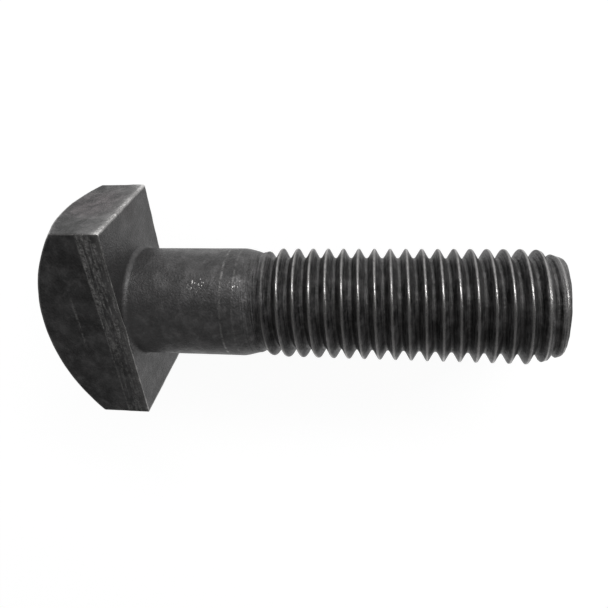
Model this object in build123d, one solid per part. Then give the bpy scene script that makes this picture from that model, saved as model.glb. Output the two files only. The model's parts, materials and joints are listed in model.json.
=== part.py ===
"""T slot bolt, M18 x 2.5: a rectangular forged head with a domed top, a round shank and a rolled thread.

The bolt is one piece and lies on a long side of its head.
+X runs along the bolt from the bearing face (X = 0) to the threaded end.
Y runs along the length of the head, +Z points up, away from the side that the head lies on.
All sizes are in millimetres.
"""
from build123d import *
import math
import os

# Head: a block whose top is part of a sphere centred on the bolt's axis.
head_length = 35.0
head_width = 19.0
head_height = 15.5
head_corner_height = 8.0
head_corner_round = 0.6
underhead_fillet = 1.1

# Shank, and the taper down to the blank that the thread is rolled on.
shank_d = 18.0
taper_start = 17.6
taper_end = 20.4
under_head_length = 67.8

# Thread: right hand, single start, with the standard's 60 degree flanks, crest flat and depth.
# One crest stands right above the axis at crest_above_axis, and the others a pitch apart from it.
thread_d = 18.0
pitch = 2.5
thread_depth = 0.61343 * pitch
crest_flat = pitch / 8
root_flat = pitch / 6
blank_d = 16.7
thread_start = 21.0
full_thread_start = 24.4
crest_above_axis = 25.0
point_length = 4.0
point_d = 15.2
# The taper ends a little outside the blank, so that the thread starts inside its end face.
taper_end_d = blank_d + 0.1
# A helix of flats instead of smooth helical faces keeps the facets few.
sides_per_turn = 36


def head():
    """The head block, domed on top and with its four upright corners rounded."""
    half_diagonal = math.hypot(head_length, head_width) / 2
    dome_rise = head_height - head_corner_height
    dome_r = (dome_rise**2 + half_diagonal**2) / (2 * dome_rise)
    block = Pos(-head_height / 2, 0, 0) * Box(head_height, head_length, head_width)
    block = fillet(block.edges().filter_by(Axis.X), head_corner_round)
    return block & Pos(dome_r - head_height, 0, 0) * Sphere(dome_r)


def shank():
    """Fillet under the head, plain shank and taper, in one turned form."""
    shank_r = shank_d / 2
    flare_r = shank_r + underhead_fillet
    sunk = head_corner_height / 2
    with BuildSketch() as profile:
        with BuildLine():
            Polyline((-sunk, 0), (-sunk, flare_r), (0, flare_r))
            RadiusArc((0, flare_r), (underhead_fillet, shank_r), underhead_fillet)
            Polyline(
                (underhead_fillet, shank_r),
                (taper_start, shank_r),
                (taper_end, taper_end_d / 2),
                (taper_end, 0),
                (-sunk, 0),
            )
        make_face()
    # The fillet is wider than the head, so the head's long sides cut it off.
    between_sides = Box(2 * under_head_length, head_length, head_width)
    return revolve(profile.sketch, Axis.X) & between_sides


def thread_radius(x, full_r):
    """Radius at x of a thread corner whose radius is full_r where the thread is whole."""
    rise = min(max((x - thread_start) / (full_thread_start - thread_start), 0), 1)
    rise = rise * rise * (3 - 2 * rise)
    blank_r = blank_d / 2
    cone_slope = (thread_d - point_d) / 2 / point_length
    cone_r = point_d / 2 + (under_head_length - x) * cone_slope
    return min(blank_r + rise * (full_r - blank_r), cone_r)


def flats(a, b, c, d):
    """The four-sided gap between two thread lines: one flat face where it is flat, or else two triangles."""
    off_plane = (b - a).cross(d - a).normalized().dot(c - a)
    rings = [(a, b, c, d)] if abs(off_plane) < 1e-7 else [(a, b, c), (a, c, d)]
    return [Face(Wire.make_polygon(ring, close=True)) for ring in rings]


def threaded_end():
    """The rolled thread, its run-out and the point: a skin of flats between the thread's corner lines.

    Each line climbs one pitch a turn, so its end is the start of the same corner's line one turn on."""
    crest_r = thread_d / 2
    root_r = crest_r - thread_depth
    corners = [
        (-crest_flat / 2, crest_r),
        (crest_flat / 2, crest_r),
        (pitch / 2 - root_flat / 2, root_r),
        (pitch / 2 + root_flat / 2, root_r),
    ]
    first_x = crest_above_axis - math.ceil((crest_above_axis - taper_end) / pitch + 1) * pitch
    turns = math.ceil((under_head_length - first_x) / pitch) + 2
    starts = [(first_x + turn * pitch + offset, r) for turn in range(turns) for offset, r in corners]

    def point(line, side):
        start_x, full_r = starts[line]
        x = start_x + pitch * side / sides_per_turn
        angle = 2 * math.pi * side / sides_per_turn
        r = thread_radius(x, full_r)
        return Vector(x, -r * math.sin(angle), r * math.cos(angle))

    faces = []
    last = len(starts) - len(corners) - 1
    for line in range(last):
        for side in range(sides_per_turn):
            here = (point(line, side), point(line, side + 1))
            above = (point(line + 1, side + 1), point(line + 1, side))
            faces += flats(*here, *above)
    # Each end closes on a point of the axis, out past the length that is kept.
    for line in (0, last):
        turn_loop = [point(line, side) for side in range(sides_per_turn + 1)]
        seam = [point(line + k, 0) for k in range(len(corners) - 1, 0, -1)]
        loop = turn_loop + seam
        tip = Vector(starts[line][0] + pitch / 2, 0, 0)
        for a, b in zip(loop, loop[1:] + loop[:1]):
            faces.append(Face(Wire.make_polygon((tip, a, b), close=True)))
    skin = Solid(Shell(faces))
    length = under_head_length - taper_end
    kept = Pos(taper_end + length / 2, 0, 0) * Box(length, head_length, head_length)
    return skin & kept


os.makedirs("parts", exist_ok=True)
export_step(head() + shank() + threaded_end(), "parts/t_slot_bolt.step")
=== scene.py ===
"""Looks of the T slot bolt: one dense mesh with its rolled thread, in black oxide with worn bright edges.

The mesh is a closed skin made of rings, each with the same number of points round the bolt's axis.
From the dome to past the middle of the shank a ring is level: it ends where it starts. From there on
the rings climb by one pitch a turn, so that crest and root follow them, and on the flat end they are
level again.
Lengths are in millimetres until the mesh is made, and in Blender's metres after that.
"""

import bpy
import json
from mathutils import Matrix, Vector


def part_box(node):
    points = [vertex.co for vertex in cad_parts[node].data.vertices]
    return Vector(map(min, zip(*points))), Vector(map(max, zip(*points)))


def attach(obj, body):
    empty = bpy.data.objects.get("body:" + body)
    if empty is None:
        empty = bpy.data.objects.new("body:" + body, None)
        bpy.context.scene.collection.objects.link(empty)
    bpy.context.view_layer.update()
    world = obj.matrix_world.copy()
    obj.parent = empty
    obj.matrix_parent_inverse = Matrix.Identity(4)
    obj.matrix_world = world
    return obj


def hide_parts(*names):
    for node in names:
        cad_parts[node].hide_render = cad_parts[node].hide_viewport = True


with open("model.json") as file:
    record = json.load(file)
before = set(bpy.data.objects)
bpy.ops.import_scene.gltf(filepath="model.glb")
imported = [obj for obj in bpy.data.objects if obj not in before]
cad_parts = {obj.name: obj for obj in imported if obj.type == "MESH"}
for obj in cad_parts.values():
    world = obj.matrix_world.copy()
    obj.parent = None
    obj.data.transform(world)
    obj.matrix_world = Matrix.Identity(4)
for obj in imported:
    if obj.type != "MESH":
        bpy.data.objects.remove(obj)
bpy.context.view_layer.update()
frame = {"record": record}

import json
import math

import bpy
import numpy as np
from mathutils import Matrix, Vector, noise

MM = 0.001
NODE = "t_slot_bolt"
low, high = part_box(NODE)
mounts = {mount["name"]: mount for mount in frame["record"]["mounts"]}

# Driving sizes, in millimetres: the CAD solid gives the outer ones.
apex_x = low.x / MM
end_x = high.x / MM
half_length = high.y / MM
half_width = high.z / MM
shank_r = mounts["shank"]["dims"]["r_mm"]

# Head.
corner_thickness = 8.0
corner_round = 0.3
fillet_r = 0.8
dome_shift_y = -0.35
bearing_edge_round = 0.15
dome_edge_round = 0.18

# Neck, thread M18 x 2.5 and point. A rounding is the width over which a corner is softened.
blank_r = 8.35
taper_start = 17.6
taper_end = 21.2
pitch = 2.5
crest_r = 9.0
crest_flat = pitch / 8
crest_rounding = 0.22
root_rounding = 0.3
thread_depth = 0.61343 * pitch
half_flank_angle = math.radians(30)
crest_above_axis = 25.0
point_length = 4.0
point_r = 7.6
point_rounding = 0.12
cone_slope = (crest_r - point_r) / point_length
# Over the run-out the grooves come before the crests.
groove_start = 19.8
full_groove_start = 23.6
thread_start = 20.8
full_thread_start = 24.0

# Unevenness of the surface, for the forged head and for the rest.
forged_depth = 0.045
rolled_depth = 0.015
uneven_feature = 3.0

# The grid: points in each ring, numbers of rings, and the climbing rings' places within a pitch.
columns = 200
corner_segments = 8
long_side_share = 0.65
dome_rings = 24
wall_rings = 17
fillet_rings = 8
plain_shank_rings = 34
flat_end_rings = 8
half_pitch_steps = [0.0, 0.045, 0.08, 0.12, 0.2, 0.29, 0.37, 0.43, 0.5]
pitch_steps = half_pitch_steps + [1 - step for step in reversed(half_pitch_steps[1:-1])]
climb_start = crest_above_axis + pitch / 2 - 5 * pitch
# The climbing rings go on at least this far past the end, where they fold inwards onto the flat.
past_end_reach = 0.3

# Reflectance of each surface where it isn't worn.
TONE_DOME = 0.045
TONE_LONG_SIDE = 0.034
TONE_END_SIDE = 0.047
TONE_BEARING = 0.052
TONE_SHANK = 0.062
TONE_THREAD = 0.052
TONE_POINT = 0.058
TONE_WORN = 0.62

# How even each surface is: 1 is plain, 0 is mottled, and below 0 the mottling is stronger.
EVEN_BEARING = 0.7
EVEN_SHANK = 0.3
EVEN_END_SIDE = -0.35

# Wear, where it has one value: 0 is none, 1 is bare steel.
WEAR_DOME_EDGE = 0.3
WEAR_RIM = 0.45
WEAR_CREST = 0.6
WEAR_ROOT = 0.1
WEAR_POINT = 0.08
# The thread's look gives way to the point's over this width.
cone_blend = 0.3


def smoothstep(value):
    """0 below 0, 1 above 1, and a smooth rise between."""
    value = np.clip(value, 0, 1)
    return value * value * (3 - 2 * value)


def fade(distance, reach):
    """1 at no distance, and down to about a third over that reach."""
    return np.exp(-distance / reach)


def soft_max(a, b, width):
    """The larger of a and b, with the corner between them rounded over about that width."""
    overlap = np.maximum(width - np.abs(a - b), 0)
    return np.maximum(a, b) + overlap**2 / (4 * width)


def soft_min(a, b, width):
    """The smaller of a and b, rounded in the same way."""
    return -soft_max(-a, -b, width)


def rough(points, feature, seed=0.0):
    """Fractal noise at each point, about -1 to 1, with bumps of that size in millimetres."""
    octaves = 4
    shift = Vector((seed, 2.3 * seed, 5.1 * seed))
    values = [noise.fractal(Vector(p) / feature + shift, 1.0, 2.0, octaves) for p in points]
    return np.array(values)


# Round the axis: the angle starts at -Z and runs through +Y, +Z and -Y.
turn = np.arange(columns) / columns
around = np.stack([np.sin(2 * np.pi * turn), -np.cos(2 * np.pi * turn)], axis=1)


def ring_at(x, yz):
    """The points (x, y, z) of a ring from its (y, z) and its x, which may change round it."""
    return np.concatenate([np.broadcast_to(x, columns)[:, None], yz], axis=1)


radial = ring_at(0, around)
along_axis = ring_at(1, 0 * around)


def head_outline():
    """The head's upright walls seen along X: the points of one ring, (y, z), and their outward normals."""
    long_segments = round((columns / 2 - 2 * corner_segments) * long_side_share)
    short_segments = columns // 2 - 2 * corner_segments - long_segments
    # A point close to each corner's end keeps the flat wall flat.
    support = 0.004
    points = []
    normals = []
    corners = [(1, -1, -90), (1, 1, 0), (-1, 1, 90), (-1, -1, 180)]
    inner_corner = np.array([half_length - corner_round, half_width - corner_round])
    for i, (side_y, side_z, first_angle) in enumerate(corners):
        for step in range(corner_segments + 1):
            angle = math.radians(first_angle + 90 * step / corner_segments)
            normal = np.array([math.cos(angle), math.sin(angle)])
            points.append((side_y, side_z) * inner_corner + corner_round * normal)
            normals.append(normal)
        next_y, next_z, _ = corners[(i + 1) % 4]
        start = points[-1]
        finish = (next_y, next_z) * inner_corner + corner_round * normal
        segments = short_segments if next_y == side_y else long_segments
        for share in np.linspace(support, 1 - support, segments - 1):
            points.append(start + share * (finish - start))
            normals.append(normal)
    points = np.array(points)
    # The ring starts nearest to the middle of the lower long side, as the round rings do.
    first = int(np.argmin(np.hypot(points[:, 0], points[:, 1] + half_width)))
    return np.roll(points, -first, axis=0), np.roll(normals, -first, axis=0)


outline, outline_normal = head_outline()
wall_normal = ring_at(0, outline_normal)
# The first is 1 on the long sides and 0 on the end sides, the second 1 in the middle of an upright corner.
on_long_side = smoothstep(2 * np.abs(outline_normal[:, 1]) - 0.9)
on_corner = 1 - np.abs(outline_normal[:, 0] ** 2 - outline_normal[:, 1] ** 2)
# The end sides are darker towards their upright corners by painted shade, and worn where these meet the
# bearing edge.
to_corner = half_width - np.abs(outline[:, 1])
shaded_end_tone = TONE_END_SIDE * (1 - 0.4 * fade(to_corner, 1.8))
near_corner = (1 - on_long_side) * fade(to_corner, 0.8)
wall_even = EVEN_END_SIDE * (1 - on_long_side)
wall_look = {"tone": shaded_end_tone + on_long_side * (TONE_LONG_SIDE - shaded_end_tone), "drawn": on_long_side}

half_diagonal = math.hypot(half_length, half_width)
dome_rise = -apex_x - corner_thickness
dome_r = (dome_rise**2 + half_diagonal**2) / (2 * dome_rise)


def dome_x(yz):
    """X of the dome over each (y, z)."""
    off_centre = np.hypot(yz[:, 0] - dome_shift_y, yz[:, 1])
    return apex_x + dome_r - np.sqrt(dome_r**2 - off_centre**2)


def bearing_x(yz):
    """X of the bearing side over each (y, z): the flat, and the fillet near the shank."""
    into_fillet = shank_r + fillet_r - np.hypot(yz[:, 0], yz[:, 1])
    into_fillet = np.clip(into_fillet, 0, fillet_r)
    return fillet_r - np.sqrt(fillet_r**2 - into_fillet**2)


class Skin:
    """The rings so far, and what the material reads at each of their points."""

    def __init__(self):
        self.rings = []
        self.normals = []
        self.values = {name: [] for name in ("tone", "wear", "drawn", "rolled", "even", "lane")}

    def add(self, points, normals, **given):
        """Adds a ring and its values, each for the whole ring or point by point. A value not given is 0."""
        self.rings.append(points)
        self.normals.append(normals)
        for name, rings in self.values.items():
            rings.append(given.get(name, 0.0) + np.zeros(columns))


def add_dome(skin):
    """Rings from near the dome's middle to its edge, and the small rounding of that edge."""
    inset = outline - dome_edge_round * outline_normal
    for share in np.linspace(0.04, 1, dome_rings) ** 0.85:
        yz = share * inset
        dome_normal = ring_at(dome_x(yz) - apex_x - dome_r, yz - (dome_shift_y, 0)) / dome_r
        skin.add(ring_at(dome_x(yz), yz), dome_normal, tone=TONE_DOME)
    inner = ring_at(dome_x(inset), inset)
    corner = ring_at(dome_x(outline), outline)
    outer = ring_at(dome_x(outline) + dome_edge_round, outline)
    for share in (0.25, 0.5, 0.75, 1):
        points = (1 - share) ** 2 * inner + 2 * share * (1 - share) * corner + share**2 * outer
        normal = (1 - share) * dome_normal + share * wall_normal
        skin.add(points, normal, wear=WEAR_DOME_EDGE, even=wall_even, **wall_look)


def add_walls(skin):
    """The four upright sides, with closer rings towards the bearing edge, and that edge's uneven rounding.

    Returns the points (y, z) of the bearing face's rim."""
    edge_noise = rough(ring_at(0, outline), 1.4, seed=3.0)
    edge_r = bearing_edge_round * (1.2 + 0.7 * np.clip(edge_noise, -1, 1))
    rim = outline - edge_r[:, None] * outline_normal
    wall_top = bearing_x(rim) - edge_r
    wall_bottom = dome_x(outline) + dome_edge_round
    wear_noise = rough(ring_at(0, outline), 2.2, seed=7.0)
    edge_wear = (1.0 - 0.4 * on_long_side) * (0.9 + 0.5 * np.clip(wear_noise, -1, 1))
    for share in 1 - np.linspace(0.99, 0.06, wall_rings) ** 1.6:
        x = wall_bottom + share * (wall_top - wall_bottom)
        below = wall_top - x
        # A speckled strip by the edge, a bright line in it, and a haze that is weaker on the long sides.
        strip = 0.4 * fade(below, 0.3)
        bright_line = 0.3 * fade(below, 0.12)
        haze = 0.35 * (1 - 0.7 * on_long_side) * fade(below, 1.4)
        wear = edge_wear * (strip + bright_line + haze)
        wear = wear + on_corner * (0.15 + 0.9 * fade(below, 1.1)) + near_corner * fade(below, 0.9)
        skin.add(ring_at(x, outline), wall_normal, wear=wear, even=wall_even, **wall_look)
    for angle in np.radians([0, 22.5, 45, 67.5, 90]):
        yz = outline - (edge_r * (1 - math.cos(angle)))[:, None] * outline_normal
        x = wall_top + edge_r * math.sin(angle)
        normal = math.cos(angle) * wall_normal + math.sin(angle) * along_axis
        wear = edge_wear * (0.45 + 0.45 * math.sin(2 * angle)) + 0.8 * on_corner + near_corner
        skin.add(ring_at(x, yz), normal, wear=wear, **wall_look)
    return rim


def add_bearing_side(skin, rim):
    """The bearing face from its rim to the fillet, and the fillet down to the shank."""
    foot = shank_r * around
    reach = np.hypot(rim[:, 0], rim[:, 1]) - shank_r
    # The fillet takes this share of the way from the shank to the rim, and 0.8 of it at most.
    flare = np.minimum(fillet_r, 0.8 * reach) / reach
    face_shares = (0.01, 0.04, 0.2, 0.4, 0.6, 0.8, 1.0)
    for share in face_shares:
        yz = foot + (1 - share * (1 - flare))[:, None] * (rim - foot)
        wear = WEAR_RIM if share == face_shares[0] else 0.0
        skin.add(ring_at(bearing_x(yz), yz), along_axis, tone=TONE_BEARING, wear=wear, even=EVEN_BEARING)
    for blend in np.arange(1, fillet_rings + 1) / fillet_rings:
        yz = foot + (flare * (1 - math.sin(math.pi / 2 * blend)))[:, None] * (rim - foot)
        normal = (1 - blend) * along_axis + blend * radial
        tone = TONE_BEARING + blend * (TONE_SHANK - TONE_BEARING)
        skin.add(ring_at(bearing_x(yz), yz), normal, tone=tone, even=EVEN_BEARING)


def thread_profile(climb):
    """Radius and wear of the whole thread: climb is the place in pitches from a crest's middle."""
    from_crest = pitch * np.abs(climb - np.round(climb))
    from_root = pitch / 2 - from_crest
    drop = (from_crest - crest_flat / 2) / math.tan(half_flank_angle)
    drop = soft_min(soft_max(drop, 0, crest_rounding), thread_depth, root_rounding)
    crest_wear = WEAR_CREST * (1 - smoothstep(from_crest / (0.1 * pitch)))
    root_wear = WEAR_ROOT * (1 - smoothstep(from_root / (0.14 * pitch)))
    return crest_r - drop, crest_wear + root_wear


def body_radius(x, climb):
    """Radius and wear of the shank, neck and thread at x."""
    blank = shank_r - (shank_r - blank_r) * smoothstep((x - taper_start) / (taper_end - taper_start))
    rolled = smoothstep((x - thread_start) / (full_thread_start - thread_start))
    grooved = smoothstep((x - groove_start) / (full_groove_start - groove_start))
    full_r, wear = thread_profile(climb)
    over_blank = full_r - blank_r
    return blank + over_blank * np.where(over_blank > 0, rolled, grooved), wear * rolled


def add_climbing_ring(skin, along):
    """One ring of shank, neck, thread or point. What would be past the end lies on the flat end instead."""
    x = np.minimum(along, end_x)
    past_end = along - x
    climb = (x - crest_above_axis) / pitch - 0.5 - turn
    r, wear = body_radius(x, climb)
    cone_r = point_r + (end_x - x) * cone_slope
    on_cone = smoothstep((r - cone_r) / cone_blend + 0.5)
    r = soft_min(r, cone_r, point_rounding) - past_end
    normal = np.where((past_end > 0)[:, None], along_axis, radial)
    lined = smoothstep((x - taper_start) / (thread_start - taper_start))
    look = {
        "tone": TONE_SHANK + lined * (TONE_THREAD - TONE_SHANK) + on_cone * (TONE_POINT - TONE_THREAD),
        "wear": np.where(past_end > 0, 0, np.maximum(wear, WEAR_POINT * on_cone)),
        # The lines that rolling left are strongest where the thread starts.
        "rolled": lined * (1 + 0.3 * np.exp(-((x - thread_start) ** 2))),
        "even": EVEN_SHANK * (1 - lined),
        "lane": climb,
    }
    skin.add(ring_at(x, r[:, None] * around), normal, **look)


def add_body(skin):
    """Level rings along the shank, then climbing rings over neck, thread and point onto the flat end.

    Returns how many rings there are before the first climbing one."""
    shank = shank_r * around
    last_level_x = climb_start - 0.1
    for x in np.linspace(fillet_r + 0.25, last_level_x, plain_shank_rings):
        even = EVEN_SHANK + (EVEN_BEARING - EVEN_SHANK) * fade(x, 5)
        skin.add(ring_at(x, shank), radial, tone=TONE_SHANK, even=even)
    # A few rings lean more and more, up to the slope of the first climbing one.
    for share in (0.2, 0.4, 0.6, 0.8):
        x = last_level_x + share * (climb_start + pitch * turn - last_level_x)
        skin.add(ring_at(x, shank), radial, tone=TONE_SHANK, even=EVEN_SHANK)
    level_rings = len(skin.rings)
    pitches = math.ceil((end_x + past_end_reach - climb_start) / pitch)
    for whole in range(pitches):
        for step in pitch_steps:
            add_climbing_ring(skin, climb_start + pitch * (whole + step + turn))
    return level_rings


def skin_faces(ring, level_rings, last_climbing):
    """Faces of the whole skin. A climbing ring's end meets the ring that starts one pitch further on."""
    per_pitch = len(pitch_steps)
    seam = columns - 1
    faces = []
    for i in range(len(ring) - 1):
        here, above = ring[i], ring[i + 1]
        for j in range(seam):
            faces.append((here[j], here[j + 1], above[j + 1], above[j]))
        if i < level_rings or i >= last_climbing:
            faces.append((here[seam], here[0], above[0], above[seam]))
        elif i + per_pitch < last_climbing:
            faces.append((here[seam], ring[i + per_pitch][0], ring[i + per_pitch + 1][0], above[seam]))
        else:
            faces.append((here[seam], ring[last_climbing][0], above[seam]))
    for k in range(level_rings, level_rings + per_pitch):
        faces.append((ring[level_rings][seam], ring[k][0], ring[k + 1][0]))
    return faces


def store_values(mesh, skin):
    """Point attributes that the material reads. The two points that close the ends come last."""
    closing = {"tone": [TONE_DOME, TONE_THREAD]}
    for name, rings in skin.values.items():
        values = np.concatenate(rings + [closing.get(name, [0.0, 0.0])])
        if name == "lane":
            # The lane runs round a circle once a pitch, so that the thread's lines have no seam.
            circle = np.stack([np.cos(2 * np.pi * values), np.sin(2 * np.pi * values), 0 * values], axis=1)
            attribute = mesh.attributes.new(name, "FLOAT_VECTOR", "POINT")
            attribute.data.foreach_set("vector", circle.astype(np.float32).ravel())
        else:
            attribute = mesh.attributes.new(name, "FLOAT", "POINT")
            attribute.data.foreach_set("value", values.astype(np.float32))


def build_bolt():
    """The bolt's one mesh, with the point attributes that the material reads."""
    skin = Skin()
    add_dome(skin)
    rim = add_walls(skin)
    add_bearing_side(skin, rim)
    level_rings = add_body(skin)
    last_climbing = len(skin.rings) - 1
    inner_r = float(np.hypot(skin.rings[-1][:, 1], skin.rings[-1][:, 2]).min())
    for r in np.linspace(0.85 * inner_r, 0.4, flat_end_rings):
        skin.add(ring_at(end_x, r * around), along_axis, tone=TONE_THREAD)

    pole_x = float(dome_x(np.zeros((1, 2)))[0])
    points = np.concatenate(skin.rings + [[[pole_x, 0, 0], [end_x, 0, 0]]])
    normals = np.concatenate(skin.normals + [[[-1.0, 0, 0], [1.0, 0, 0]]])
    depth = np.where(points[:, 0] < 0, forged_depth, rolled_depth)
    points = points + normals * (depth * rough(points, uneven_feature))[:, None]

    ring = np.arange(len(skin.rings) * columns).reshape(-1, columns)
    faces = skin_faces(ring, level_rings, last_climbing)
    pole, end = len(points) - 2, len(points) - 1
    for j in range(columns):
        faces.append((pole, ring[0][(j + 1) % columns], ring[0][j]))
        faces.append((end, ring[-1][j], ring[-1][(j + 1) % columns]))
    mesh = bpy.data.meshes.new("threaded_bolt")
    mesh.from_pydata((points * MM).tolist(), [], [tuple(int(v) for v in face) for face in faces])
    store_values(mesh, skin)
    mesh.polygons.foreach_set("use_smooth", [True] * len(mesh.polygons))
    mesh.update()
    bolt = bpy.data.objects.new("threaded_bolt", mesh)
    bpy.context.scene.collection.objects.link(bolt)
    return bolt


class Nodes:
    """A short way to write the shader nodes of a material or a world."""

    def __init__(self, owner):
        owner.use_nodes = True
        self.tree = owner.node_tree
        self.tree.nodes.clear()

    def add(self, kind, inputs=None, **settings):
        node = self.tree.nodes.new(kind)
        for key, value in settings.items():
            setattr(node, key, value)
        for key, value in (inputs or {}).items():
            self.set(node.inputs[key], value)
        return node

    def set(self, socket, value):
        """Links the socket to a node's output, or gives it a constant."""
        if isinstance(value, bpy.types.NodeSocket):
            self.tree.links.new(value, socket)
        else:
            socket.default_value = value

    def math(self, operation, a, b=0.0, clamp=False):
        return self.add("ShaderNodeMath", {0: a, 1: b}, operation=operation, use_clamp=clamp).outputs[0]

    def chain(self, operation, values):
        result = values[0]
        for value in values[1:]:
            result = self.math(operation, result, value)
        return result

    def product(self, *values):
        return self.chain("MULTIPLY", values)

    def total(self, *values):
        return self.chain("ADD", values)

    def largest(self, *values):
        return self.chain("MAXIMUM", values)

    def vector_math(self, operation, a, b, output="Vector"):
        return self.add("ShaderNodeVectorMath", {0: a, 1: b}, operation=operation).outputs[output]

    def scaled(self, vector, scale):
        return self.vector_math("MULTIPLY", vector, scale)

    def distance(self, a, b):
        return self.vector_math("DISTANCE", a, b, "Value")

    def split(self, vector):
        return self.add("ShaderNodeSeparateXYZ", {0: vector}).outputs

    def noise(self, vector, feature=1.0, detail=4.0, roughness=0.6):
        """Noise from 0 to 1, mostly near 0.5, with features of about that size."""
        inputs = {"Vector": vector, "Scale": 1 / feature, "Detail": detail, "Roughness": roughness}
        return self.add("ShaderNodeTexNoise", inputs).outputs["Fac"]

    def ramp(self, value, low, high, first=0.0, last=1.0):
        """value between low and high, drawn out from first to last with soft ends."""
        inputs = {"Value": value, "From Min": low, "From Max": high, "To Min": first, "To Max": last}
        return self.add("ShaderNodeMapRange", inputs, interpolation_type="SMOOTHSTEP").outputs["Result"]

    def line(self, value, place, width):
        """1 where value is at place, falling to 0 at that width on both sides."""
        distance = self.math("ABSOLUTE", self.math("SUBTRACT", value, place))
        return self.ramp(distance, 0.0, width, 1.0, 0.0)

    def blend(self, factor, a, b):
        """Colour a where factor is 0, colour b where it is 1."""
        node = self.tree.nodes.new("ShaderNodeMix")
        node.data_type = "RGBA"
        self.set(node.inputs["Factor"], factor)
        colours = [socket for socket in node.inputs if socket.type == "RGBA"]
        self.set(colours[0], a)
        self.set(colours[1], b)
        return [socket for socket in node.outputs if socket.type == "RGBA"][0]

    def attribute(self, name, output="Fac"):
        return self.add("ShaderNodeAttribute", attribute_name=name).outputs[output]


# Colours. A tint says how much red, green and blue a surface reflects, for its tone.
BLACK = (0, 0, 0, 1)
WHITE = (1, 1, 1, 1)
OXIDE_TINT = (1.0, 0.975, 0.98, 1)
STAIN_TINT = (1.0, 0.85, 0.885, 1)
STEEL_TINT = (1.0, 0.98, 0.965)
# The oxide's shade where it is even, as a share of its tone.
mean_shade = 1.08

# Marks along the head's long sides, by their distance from the bearing face. Each line has its width.
drawn_band = 3.9
drawn_lines = {-3.6: 0.16, -1.5: 0.22, -0.35: 0.28}
drawn_strength = 0.55
scratch_x = -7.7
scratch_from_y = -4.5
scratch_to_y = 7.5
scratch_end = 3.0
scratch_width = 0.3
scratch_strength = 0.6
# Dotted rings round the shank, each with its strength.
shank_lines = {15.8: 0.32, 17.8: 0.144}
shank_line_width = 0.28
# Spots of bare steel on the shank where the lamp's highlight falls, partly a painted highlight: where each
# one is, and its size and strength.
highlight_and_bare_spots = {(11.8, 6.8, 5.9): (1.7, 1.3), (18.3, 6.7, 5.4): (1.5, 0.55)}
# A faint reddish stain on one end side of the head.
stain_centre = (-5.1, 17.5, -1.5)
stain_reach = 7.0


def drawn_marks(n, place, grain):
    """Light lines along the head's long sides: a band by the bearing edge, and one scratch further off."""
    x, y, _ = n.split(place)
    streaks = n.noise(n.scaled(place, (2.0, 0.22, 1.0)))
    smudges = n.noise(place, 0.8, roughness=0.7)
    broken = n.noise(n.scaled(place, (2.0, 1.1, 1.0)), detail=3.0)
    marks = [n.product(n.ramp(streaks, 0.42, 0.58), n.ramp(smudges, 0.34, 0.6))]
    for line_x, width in drawn_lines.items():
        marks.append(n.product(n.line(x, line_x, width), n.ramp(broken, 0.4, 0.62)))
    in_band = n.ramp(x, -drawn_band, 0.3 - drawn_band)
    stronger_on_one_half = n.ramp(y, -6.0, 2.0, 0.5, 1.0)
    band = n.product(n.largest(*marks), in_band, stronger_on_one_half)
    starts = n.ramp(y, scratch_from_y, scratch_from_y + scratch_end)
    stops = n.ramp(y, scratch_to_y - scratch_end, scratch_to_y, 1.0, 0.0)
    scratch = n.product(n.line(x, scratch_x, scratch_width), n.ramp(broken, 0.38, 0.6))
    scratch = n.product(scratch, starts, stops, scratch_strength)
    grainy = n.ramp(grain, 0.3, 0.6, 0.35, 1.0)
    return n.product(n.largest(band, scratch), grainy, n.attribute("drawn"), drawn_strength)


def shank_marks(n, place, grain):
    """Dotted rings round the shank, and two spots where the bare steel shows in specks, partly a painted
    highlight.
    """
    x, _, _ = n.split(place)
    dots = n.ramp(n.noise(place, 0.9, 6.0, 0.75), 0.42, 0.6)
    cells = n.add("ShaderNodeTexVoronoi", {"Vector": place, "Scale": 2.4}).outputs["Distance"]
    specks = n.product(n.ramp(cells, 0.16, 0.42, 1.0, 0.0), n.ramp(grain, 0.36, 0.5))
    marks = []
    for line_x, strength in shank_lines.items():
        marks.append(n.product(n.line(x, line_x, shank_line_width), dots, strength))
    # Each spot is bare steel in specks and partly a painted highlight of the lamp on the shank.
    for centre, (size, strength) in highlight_and_bare_spots.items():
        spot = n.ramp(n.distance(place, centre), 0.4 * size, size, strength, 0.0)
        marks.append(n.product(spot, specks))
    return n.largest(*marks)


def rolled_lines(n, place):
    """Fine lines that rolling left along the thread: noise that hardly changes along the helix."""
    change_per_mm = 0.22
    lane = n.scaled(n.attribute("lane", "Vector"), (2.4, 2.4, 0.0))
    vector = n.vector_math("ADD", lane, n.scaled(place, (0.0, 0.0, change_per_mm)))
    _, y, _ = n.split(place)
    w = n.product(y, change_per_mm)
    inputs = {"Vector": vector, "W": w, "Scale": 1.0, "Detail": 4.0, "Roughness": 0.6}
    return n.add("ShaderNodeTexNoise", inputs, noise_dimensions="4D").outputs["Fac"]


def oxide_colour(n, place, patches, grain, rolled_shade):
    """The colour of the oxide: its tone, which holds painted shade near the upright corners of the head's
    end sides, mottled and grainy, with dust, rolled lines and one stain.
    """
    dust = n.noise(place, 1.5, roughness=0.65)
    patchy = n.ramp(patches, 0.34, 0.66, 0.55, 1.4)
    grainy = n.ramp(grain, 0.3, 0.7, -0.25, 0.25)
    shade = n.total(patchy, grainy, n.ramp(dust, 0.5, 0.7, 0.0, 0.6))
    # Where the surface is even, most of the mottling goes, and where it is below 0, the mottling grows.
    to_mean = n.product(n.math("SUBTRACT", mean_shade, shade), n.attribute("even"))
    shade = n.total(shade, to_mean, rolled_shade)
    reflectance = n.math("MULTIPLY", n.attribute("tone"), shade, clamp=True)
    stained = n.ramp(n.distance(place, stain_centre), 0.4 * stain_reach, stain_reach, 1.0, 0.0)
    tint = n.blend(stained, OXIDE_TINT, STAIN_TINT)
    return n.blend(reflectance, BLACK, tint)


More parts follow.
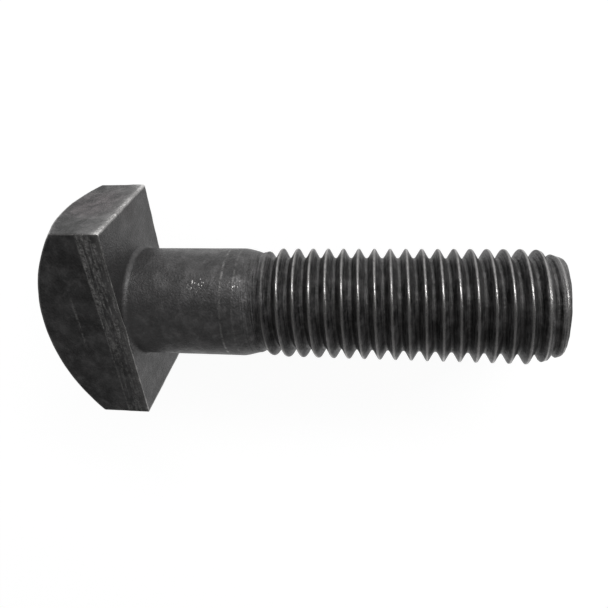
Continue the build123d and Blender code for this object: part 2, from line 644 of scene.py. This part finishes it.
def black_oxide():
    """Black oxide on forged and rolled steel: mottled and grainy, bright where it is worn or scratched, and
    in two spots on the shank that are partly a painted highlight.
    """
    material = bpy.data.materials.new("black_oxide")
    n = Nodes(material)
    place = n.scaled(n.add("ShaderNodeTexCoord").outputs["Object"], (1 / MM,) * 3)
    patches = n.noise(place, 3.0, 6.0, 0.62)
    grain = n.noise(place, 0.35, 3.0)
    rolled = n.attribute("rolled")
    rolled_shade = n.product(n.ramp(rolled_lines(n, place), 0.36, 0.64, -0.6, 0.4), rolled)

    # Wear polishes the steel unevenly, and off the thread it also shows as specks.
    wear = n.attribute("wear")
    speckle = n.noise(n.scaled(place, (1.0, 0.3, 0.8)), 0.4, roughness=0.7)
    uneven_wear = n.total(wear, n.ramp(speckle, 0.3, 0.7, -0.6, 0.6))
    speckled = n.product(n.ramp(uneven_wear, 0.55, 1.2), n.math("SUBTRACT", 1.0, rolled))
    polished = n.product(wear, n.ramp(speckle, 0.3, 0.6, 0.4, 0.9))
    marks = n.largest(speckled, polished, drawn_marks(n, place, grain))
    # The bare steel here includes the shank's two spots, which are partly a painted highlight.
    bare_and_glint = n.math("MAXIMUM", marks, shank_marks(n, place, grain), clamp=True)

    base = oxide_colour(n, place, patches, grain, rolled_shade)
    steel = tuple(TONE_WORN * share for share in STEEL_TINT) + (1,)
    height = n.total(grain, n.product(rolled_shade, 0.5), n.product(patches, 0.8))
    strength = n.ramp(polished, 0.1, 0.5, 1.0, 0.2)
    bump = n.add("ShaderNodeBump", {"Strength": strength, "Distance": 0.0001, "Height": height})
    inputs = {
        "Base Color": n.blend(bare_and_glint, base, steel),
        "Metallic": n.ramp(bare_and_glint, 0.0, 0.25, 0.5, 1.0),
        "Roughness": n.total(n.ramp(patches, 0.25, 0.75, 0.5, 0.4), n.product(bare_and_glint, -0.45)),
        "Normal": bump.outputs["Normal"],
    }
    shader = n.add("ShaderNodeBsdfPrincipled", inputs)
    n.add("ShaderNodeOutputMaterial", {"Surface": shader.outputs["BSDF"]})
    return material


def floor_white():
    """White paint that glows for the rays that see it, so that it stays white and keeps a faint shadow.

    Such rays come from the camera, or from metal and glass. The glow puts no light on dull surfaces."""
    material = bpy.data.materials.new("floor_white")
    n = Nodes(material)
    path = n.add("ShaderNodeLightPath").outputs
    seen = n.largest(path["Is Camera Ray"], path["Is Glossy Ray"], path["Is Transmission Ray"])
    paint = n.add("ShaderNodeBsdfDiffuse", {"Color": (0.9, 0.9, 0.9, 1)})
    glow = n.add("ShaderNodeEmission", {"Color": WHITE, "Strength": 1.16})
    share = n.product(seen, 0.8)
    mixed = n.add("ShaderNodeMixShader", {0: share, 1: paint.outputs[0], 2: glow.outputs[0]})
    n.add("ShaderNodeOutputMaterial", {"Surface": mixed.outputs[0]})
    return material


def build_floor():
    bpy.ops.mesh.primitive_plane_add(size=4.0, location=(0, 0, low.z))
    floor = bpy.context.object
    floor.name = "floor"
    floor.data.materials.append(floor_white())


def build_world():
    """Dim above and brighter towards the horizon, but white where the camera itself sees it."""
    world = bpy.data.worlds.new("studio")
    bpy.context.scene.world = world
    n = Nodes(world)
    upward = n.split(n.add("ShaderNodeTexCoord").outputs["Generated"])["Z"]
    level = n.add("ShaderNodeMapRange", {"Value": upward, "To Min": 0.5, "To Max": 0.14})
    dim = n.add("ShaderNodeBackground", {"Color": WHITE, "Strength": level.outputs["Result"]})
    white = n.add("ShaderNodeBackground", {"Color": WHITE})
    seen = n.add("ShaderNodeLightPath").outputs["Is Camera Ray"]
    mixed = n.add("ShaderNodeMixShader", {0: seen, 1: dim.outputs[0], 2: white.outputs[0]})
    n.add("ShaderNodeOutputWorld", {"Surface": mixed.outputs[0]})


def area_light(name, direction, distance, width, height, radiance, target):
    """A lamp facing the target, with lengths in metres. Its power follows from how bright its face is."""
    data = bpy.data.lights.new(name, "AREA")
    data.shape = "RECTANGLE"
    data.size = width
    data.size_y = height
    data.energy = radiance * math.pi * width * height
    lamp = bpy.data.objects.new(name, data)
    bpy.context.scene.collection.objects.link(lamp)
    towards = Vector(direction).normalized()
    lamp.location = Vector(target) + distance * towards
    lamp.rotation_euler = towards.to_track_quat("Z", "Y").to_euler()


# The camera's place and the point that it looks at, in millimetres, and its roll.
camera_place = (44.21, 54.14, 82.26)
camera_target = (27.64, -0.23, 0)
camera_roll = math.radians(164.9)


def build_camera():
    """The camera looks down on the bolt past one end of its head, rolled until the head is on the left."""
    data = bpy.data.cameras.new("camera")
    data.sensor_width = 36.0
    data.lens = 35.592
    data.clip_start = 0.01
    camera = bpy.data.objects.new("camera", data)
    bpy.context.scene.collection.objects.link(camera)
    place = Vector(camera_place) * MM
    look = (Vector(camera_target) * MM - place).normalized()
    level_right = look.cross(Vector((0, 0, 1))).normalized()
    level_up = level_right.cross(look)
    right = math.cos(camera_roll) * level_right - math.sin(camera_roll) * level_up
    up = math.cos(camera_roll) * level_up + math.sin(camera_roll) * level_right
    camera.matrix_world = Matrix.Translation(place) @ Matrix((right, up, -look)).transposed().to_4x4()
    bpy.context.scene.camera = camera


bolt = build_bolt()
bolt.data.materials.append(black_oxide())
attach(bolt, "root")
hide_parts(NODE)
build_floor()
build_world()
area_light(
    "key",
    direction=(0.4, 0.87, 0.42),
    distance=0.45,
    width=0.45,
    height=0.08,
    radiance=13.6,
    target=(0.026, 0, 0),
)
build_camera()
bpy.context.scene.view_settings.view_transform = "Standard"
